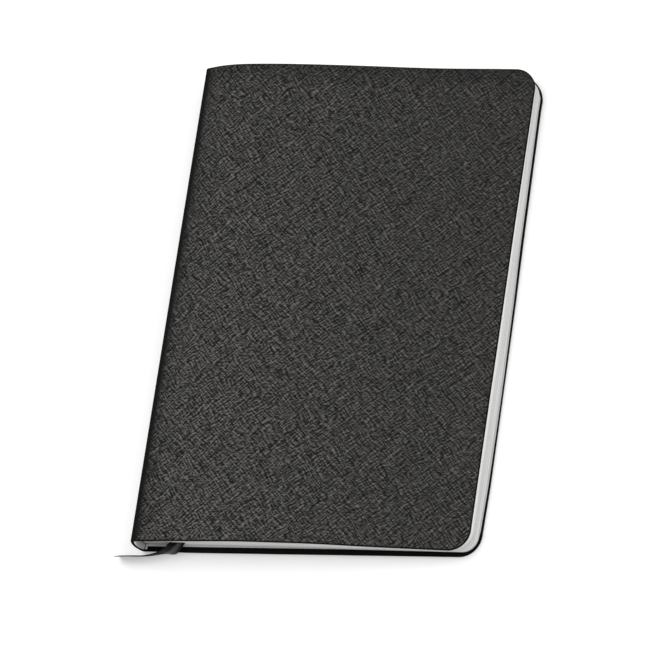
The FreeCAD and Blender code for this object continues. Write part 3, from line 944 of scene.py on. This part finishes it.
def make_endpaper_fold(name, cover_edge, leaf_edge, away, reach):
    """The fold that joins a pastedown to its flyleaf, tucked into the spine's hollow.
    The edges are X and Z, away is the direction from the leaf to the cover, and reach is
    half the length."""
    side = Vector((-away.y, away.x)) * math.copysign(1, away.y)
    middle, half = (cover_edge + leaf_edge) / 2, (cover_edge - leaf_edge) / 2
    rows = np.linspace(-reach, reach, 70)
    turns = np.linspace(math.pi / 2, -math.pi / 2, 25)
    line = [middle + half * math.sin(a) + side * TUCK * math.cos(a) for a in turns]
    line = np.array(line)
    tangent = unit_rows(np.gradient(line, axis=0))
    across = HALF_FOLD * np.stack([-tangent[:, 1], tangent[:, 0]], 1)
    ring = np.concatenate([line + across, (line - across)[::-1]])
    vertices = [(x, y, z) for y in rows for x, z in ring]
    faces = tube_faces(len(rows), len(ring))
    faces += [face[::-1] for face in end_faces(len(rows), len(ring))]
    fold = mesh_object(name, vertices, faces)
    wear(fold, endpaper)
    end = leaf_edge + away * away.dot(cover_edge - leaf_edge)
    start, end = ((p.x, 0, p.y) for p in (leaf_edge, end))
    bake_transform(fold)


pages = make_pages()
wear(pages, make_page_edges())
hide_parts("page_block")
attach(pages, "book_block")

endpaper = make_endpaper()
for node, body, place in (
    ("front_pastedown", "front", under_front(PASTEDOWN_DROP)),
    ("front_flyleaf", "book_block", under_front(FLYLEAF_DROP)),
    ("back_pastedown", "back", over_back(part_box("back_pastedown")[1].z)),
    ("back_flyleaf", "book_block", over_back(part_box("back_flyleaf")[1].z)),
):
    leaf = make_leaf(f"{node}_sheet", *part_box(node), place)
    wear(leaf, endpaper)
    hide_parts(node)
    if body == "book_block":
        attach(leaf, body)
    else:
        bend_over_fold(leaf)


def front_edge(node, drop):
    """X and Z of the middle of a sheet's spine edge, under the front cover."""
    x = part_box(node)[0].x
    return Vector((x, float(arch_z(x, drop + PAPER / 2))))


def back_edge(node):
    """The same for a sheet on the back cover."""
    low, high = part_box(node)
    return Vector((low.x, (low.z + high.z) / 2))


# Each fold runs from the glued sheet's spine edge to the free one's.
glued = front_edge("front_pastedown", PASTEDOWN_DROP)
free = front_edge("front_flyleaf", FLYLEAF_DROP)
climb = np.diff(arch_z([glued.x, glued.x + MM], PASTEDOWN_DROP)).item()
up = Vector((-climb, MM)).normalized()
make_endpaper_fold("front_endpaper_fold", glued, free, up, PAGE_HALF)
glued, free = back_edge("back_pastedown"), back_edge("back_flyleaf")
down = Vector((0, -1))
make_endpaper_fold("back_endpaper_fold", glued, free, down, LINER_HALF - 0.3 * MM)
wear(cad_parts["spine_liner"], make_board())
wear(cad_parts["spine_cloth"], make_cloth())

# ---------------------------------------------------------------- ribbon

RIBBON_WIDTH = 5.5 * MM
RIBBON_THICKNESS = 0.3 * MM

# The free end: x and y from the middle of the slot's mouth at the tail, z above the
# surface, then the direction across its width. It keeps within a millimetre of the CAD
# source's route, and the turn onto its edge is quicker.
RIBBON_ROUTE = [
    (2.0, 2.8, 4.62, 1.00, 0.00, 0.00),
    (0.6, 0.1, 4.60, 1.00, 0.00, 0.00),
    (-0.9, -1.5, 4.40, 0.97, -0.22, -0.10),
    (-3.0, -2.6, 3.50, 0.80, -0.14, -0.58),
    (-6.2, -3.2, 3.00, 0.34, 0.22, -0.91),
    (-11.0, -4.3, 2.85, 0.13, 0.33, -0.94),
    (-16.5, -4.9, 2.85, 0.02, 0.37, -0.93),
    (-21.5, -4.9, 2.85, 0.00, 0.37, -0.93),
    (-26.8, -5.1, 2.85, 0.00, 0.37, -0.93),
]
MOUTH_FROM_SPINE = 16.7 * MM
MOUTH = Vector((SPINE_X + MOUTH_FROM_SPINE, -PAGE_HALF, 0))

# How far the ribbon is cupped, up to the first share of its run and from the second.
CUP_SHARES = (0.55, 0.80)
CUPPED = (0.35 * MM, 0.08 * MM)


def nurbs_line(points, resolution=14):
    """Points along the NURBS spline that has these control points."""
    curve = bpy.data.curves.new("route", "CURVE")
    curve.dimensions = "3D"
    spline = curve.splines.new("NURBS")
    spline.points.add(len(points) - 1)
    for control, place in zip(spline.points, points):
        control.co = (*place, 1.0)
    spline.order_u = 3
    spline.use_endpoint_u = True
    spline.resolution_u = resolution
    holder = bpy.data.objects.new("route", curve)
    bpy.context.scene.collection.objects.link(holder)
    bpy.context.view_layer.update()
    read = bpy.data.meshes.new_from_object(holder)
    line = np.array([v.co for v in read.vertices], float)
    bpy.data.objects.remove(holder)
    bpy.data.meshes.remove(read)
    bpy.data.curves.remove(curve)
    return line


def make_ribbon():
    """A flat woven ribbon on its route, slightly cupped, with a straight cut end."""
    line = nurbs_line([MOUTH + Vector(p[:3]) * MM for p in RIBBON_ROUTE])
    widths = nurbs_line([p[3:] for p in RIBBON_ROUTE])
    tangents = unit_rows(np.gradient(line, axis=0))
    run = running_length(line)
    half, half_thick = RIBBON_WIDTH / 2, RIBBON_THICKNESS / 2
    across = np.linspace(-1, 1, 15) * (half - half_thick)
    vertices, marks = [], []
    for i in range(len(line)):
        wide = widths[i] - tangents[i] * widths[i].dot(tangents[i])
        wide /= np.linalg.norm(wide)
        face = np.cross(tangents[i], wide)
        cup = np.interp(run[i] / run[-1], CUP_SHARES, CUPPED) * (1 - (across / half) ** 2)
        upper = line[i] + across[:, None] * wide + (cup + half_thick)[:, None] * face
        lower = line[i] + across[::-1, None] * wide + (cup[::-1] - half_thick)[:, None] * face
        far = line[i] + half * wide + cup[-1] * face
        near = line[i] - half * wide + cup[0] * face
        ring = np.concatenate([upper, [far], lower, [near]])
        vertices.append(ring)
        width_mark = np.concatenate([across, [half], across[::-1], [-half]])
        run_mark = np.full_like(width_mark, run[i])
        marks.append(np.column_stack([run_mark, width_mark, np.zeros_like(width_mark)]))
    size = len(vertices), len(vertices[0])
    faces = tube_faces(*size) + end_faces(*size)
    vertices, marks = np.concatenate(vertices), np.concatenate(marks)
    return mesh_object("ribbon", vertices, faces, [("weave", marks)]), line


ribbon, ribbon_line = make_ribbon()
satin = make_ribbon_satin()
wear(ribbon, satin)
wear(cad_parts["ribbon_marker"], satin)
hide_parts("ribbon_tail")
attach(ribbon, "book_block")

# ---------------------------------------------------------------- floor, light, camera

# How much the floor is lifted where the camera sees it, and how strongly the surroundings
# light the notebook. The camera sees the surroundings themselves as plain white.
FLOOR_LIFT = 0.21
WORLD_STRENGTH = 0.66


def seen_directly(shader):
    """1 for what the camera sees, itself, in a gloss or through glass, and otherwise 0."""
    path = shader.node("ShaderNodeLightPath").outputs
    seen = shader.math("MAXIMUM", path["Is Camera Ray"], path["Is Glossy Ray"])
    return shader.math("MAXIMUM", seen, path["Is Transmission Ray"])


def make_floor():
    """A wide pale plane, which takes the notebook's shadow."""
    reach = 3.0
    corners = [(-reach, -reach, 0), (reach, -reach, 0), (reach, reach, 0), (-reach, reach, 0)]
    floor = mesh_object("floor", corners, [(0, 1, 2, 3)])
    s = Shader("floor")
    diffuse = s.node("ShaderNodeBsdfDiffuse")
    diffuse.inputs["Color"].default_value = (0.93, 0.93, 0.93, 1.0)
    glow = s.node("ShaderNodeEmission")
    glow.inputs["Color"].default_value = (1.0, 1.0, 1.0, 1.0)
    s.feed(glow.inputs["Strength"], s.math("MULTIPLY", seen_directly(s), FLOOR_LIFT))
    both = s.node("ShaderNodeAddShader")
    s.feed(both.inputs[0], diffuse.outputs[0])
    s.feed(both.inputs[1], glow.outputs[0])
    s.feed(s.output.inputs[0], both.outputs[0])
    wear(floor, s.material)


def make_world():
    """White surroundings, dimmer in the light that they give than in the picture."""
    world = bpy.data.worlds.new("studio")
    bpy.context.scene.world = world
    world.use_nodes = True
    s = Nodes(world.node_tree)
    output = s.node("ShaderNodeOutputWorld")
    background = s.node("ShaderNodeBackground")
    background.inputs["Color"].default_value = (1.0, 1.0, 1.0, 1.0)
    strength = s.math("MULTIPLY_ADD", seen_directly(s), 1 - WORLD_STRENGTH, WORLD_STRENGTH)
    s.feed(background.inputs["Strength"], strength)
    s.feed(output.inputs[0], background.outputs[0])


def make_sun(name, azimuth, elevation, strength, spread_degrees):
    """A broad soft lamp; azimuth is where it stands, from +X towards +Y."""
    lamp = bpy.data.lights.new(name, "SUN")
    lamp.energy = strength
    lamp.angle = math.radians(spread_degrees)
    holder = bpy.data.objects.new(name, lamp)
    a, e = math.radians(azimuth), math.radians(elevation)
    towards = Vector((math.cos(a) * math.cos(e), math.sin(a) * math.cos(e), math.sin(e)))
    holder.rotation_mode = "QUATERNION"
    holder.rotation_quaternion = towards.to_track_quat("Z", "Y")
    bpy.context.scene.collection.objects.link(holder)


def make_camera():
    """A long lens, from beyond the tail and the fore-edge, fitted to the cover's corners."""
    right = Vector((0.92278, 0.14166, -0.35834))
    up = Vector((-0.00129, 0.93110, 0.36477))
    back = right.cross(up)
    place = Vector((1.0300, -0.9105, 2.3061))
    data = bpy.data.cameras.new("camera")
    data.lens = 354.15
    data.sensor_width = 36.0
    data.clip_start = 0.1
    data.clip_end = 20.0
    camera = bpy.data.objects.new("camera", data)
    turn = Matrix((right, up, back)).transposed()
    camera.matrix_world = Matrix.Translation(place) @ turn.to_4x4()
    bpy.context.scene.collection.objects.link(camera)
    bpy.context.scene.camera = camera


make_floor()
make_world()
make_sun("key", azimuth=142, elevation=48, strength=1.15, spread_degrees=55)
make_sun("fill", azimuth=10, elevation=38, strength=0.65, spread_degrees=50)
make_camera()
bpy.context.scene.view_settings.view_transform = "Standard"
